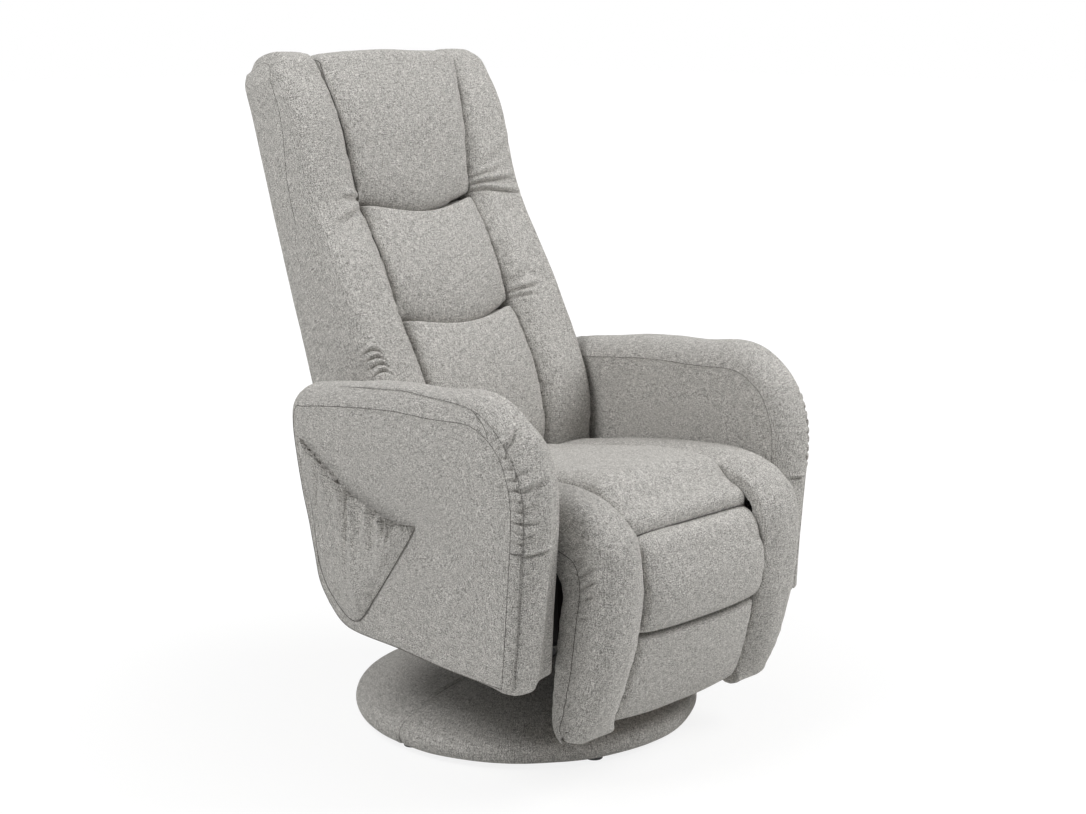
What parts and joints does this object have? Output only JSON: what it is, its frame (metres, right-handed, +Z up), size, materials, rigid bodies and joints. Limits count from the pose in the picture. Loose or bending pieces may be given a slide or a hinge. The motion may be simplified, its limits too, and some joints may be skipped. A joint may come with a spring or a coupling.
{
  "type": "swivel recliner",
  "caption": "Upholstered push-back swivel recliner on a round padded base, with closed arms, a side pocket and a leg rest that rises as the back reclines.",
  "frame": {"origin": "middle of the round base on the floor, on the swivel's axis", "axes": "+Z up; the chair faces -Y; +X to the right of someone who faces the chair"},
  "size_m": [0.7404, 0.8363, 1.097],
  "materials": {
    "upholstery": "matte",
    "black_cloth": "matte",
    "base_foam": "matte",
    "frame_wood": "matte",
    "black_steel": "satin",
    "zinc_steel": "satin",
    "nylon": "matte",
    "black_plastic": "matte"
  },
  "bodies": {
    "base": {"base_glides": "black_plastic", "base_underlay": "black_cloth", "base_board": "frame_wood", "base_former": "base_foam", "base_cover": "upholstery", "base_trim_ring": "black_plastic", "swivel_post": "black_steel", "post_bolts": "zinc_steel", "thrust_collar": "black_steel", "retaining_washer": "zinc_steel"},
    "carriage": {"swivel_hub": "black_steel", "hub_bushes": "nylon", "cross_tubes": "black_steel", "side_rail_left": "frame_wood", "side_rail_right": "frame_wood", "side_plate_left": "black_steel", "side_plate_right": "black_steel", "spring_risers": "frame_wood", "seat_springs": "zinc_steel", "dust_cover": "black_cloth", "arm_bolts": "zinc_steel", "seat_pad": "upholstery", "seat_bolster_left": "upholstery", "seat_bolster_right": "upholstery", "arm_panels_left": "frame_wood", "arm_panels_right": "frame_wood", "arm_blocks_left": "frame_wood", "arm_blocks_right": "frame_wood", "arm_outer_pad_left": "upholstery", "arm_outer_pad_right": "upholstery", "arm_inner_pad_left": "upholstery", "arm_inner_pad_right": "upholstery", "arm_band_left": "upholstery", "arm_band_right": "upholstery", "side_pocket": "upholstery"},
    "back": {"back_stiles": "frame_wood", "back_rails": "frame_wood", "back_webbing": "black_cloth", "head_panel": "upholstery", "middle_panel": "upholstery", "lower_panel": "upholstery", "back_bolster_left": "upholstery", "back_bolster_right": "upholstery", "back_cover": "upholstery", "back_lever_left": "black_steel", "back_lever_right": "black_steel", "back_pins": "zinc_steel", "hinge_washers_back": "nylon"},
    "push_rods": {"push_rod_left": "black_steel", "push_rod_right": "black_steel"},
    "leg_rest": {"leg_board": "frame_wood", "leg_bracket_left": "black_steel", "leg_bracket_right": "black_steel", "knee_pad": "upholstery", "calf_pad": "upholstery", "leg_bolster_left": "upholstery", "leg_bolster_right": "upholstery", "leg_cover": "black_cloth", "leg_pins": "zinc_steel", "hinge_washers_leg": "nylon"}
  },
  "joints": [
    {"name": "swivel", "type": "hinge", "parent": "base", "child": "carriage", "pos_m": [0, 0, 0], "axis": [0, 0, 1], "continuous": true},
    {"name": "back_recline", "type": "hinge", "parent": "carriage", "child": "back", "pos_m": [0, 0.13, 0.37], "axis": [-1, 0, 0], "range_deg": [0, 38]},
    {"name": "push_rod_swing", "type": "hinge", "parent": "back", "child": "push_rods", "pos_m": [0, 0.16545, 0.26587], "axis": [-1, 0, 0], "range_deg": [-38.5, 0]},
    {"name": "leg_rest_lift", "type": "hinge", "parent": "carriage", "child": "leg_rest", "pos_m": [0, -0.345, 0.385], "axis": [-1, 0, 0], "range_deg": [0, 80]}
  ],
  "couplings": [
    {"joint": "push_rod_swing", "follows": "back_recline", "ratio": -1},
    {"joint": "leg_rest_lift", "follows": "back_recline", "ratio": 2.1}
  ]
}
